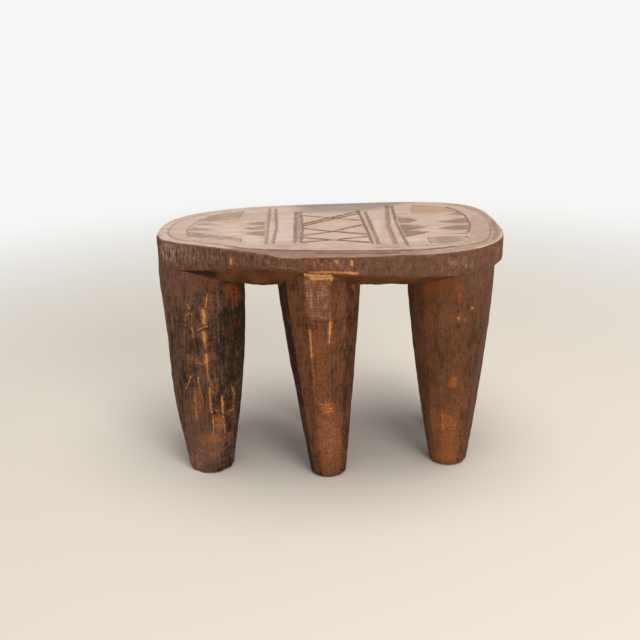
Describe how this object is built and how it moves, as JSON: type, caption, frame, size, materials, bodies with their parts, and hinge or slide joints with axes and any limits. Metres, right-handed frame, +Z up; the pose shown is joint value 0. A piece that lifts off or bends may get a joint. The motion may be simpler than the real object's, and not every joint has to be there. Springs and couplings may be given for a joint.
{
  "type": "carved wooden stool",
  "caption": "Low oblong seat with a chip-carved geometric top, standing on thick faceted legs that taper to flat feet.",
  "frame": {"origin": "on the floor, under the middle of the seat's bounding box", "axes": "+X along the seat's length to the right in the picture, +Y to the back, +Z up"},
  "size_m": [0.383, 0.238, 0.275],
  "materials": {
    "seat_wood": "dry worn hand-carved wood, greyed on the top and dark on the rim",
    "leg_wood": "dark handled adzed wood with bare scuffed edges"
  },
  "bodies": {
    "root": {"seat": "seat_wood", "leg_front_left": "leg_wood", "leg_front_centre": "leg_wood", "leg_front_right": "leg_wood", "leg_back_left": "leg_wood", "leg_back_centre": "leg_wood", "leg_back_right": "leg_wood"}
  },
  "joints": []
}
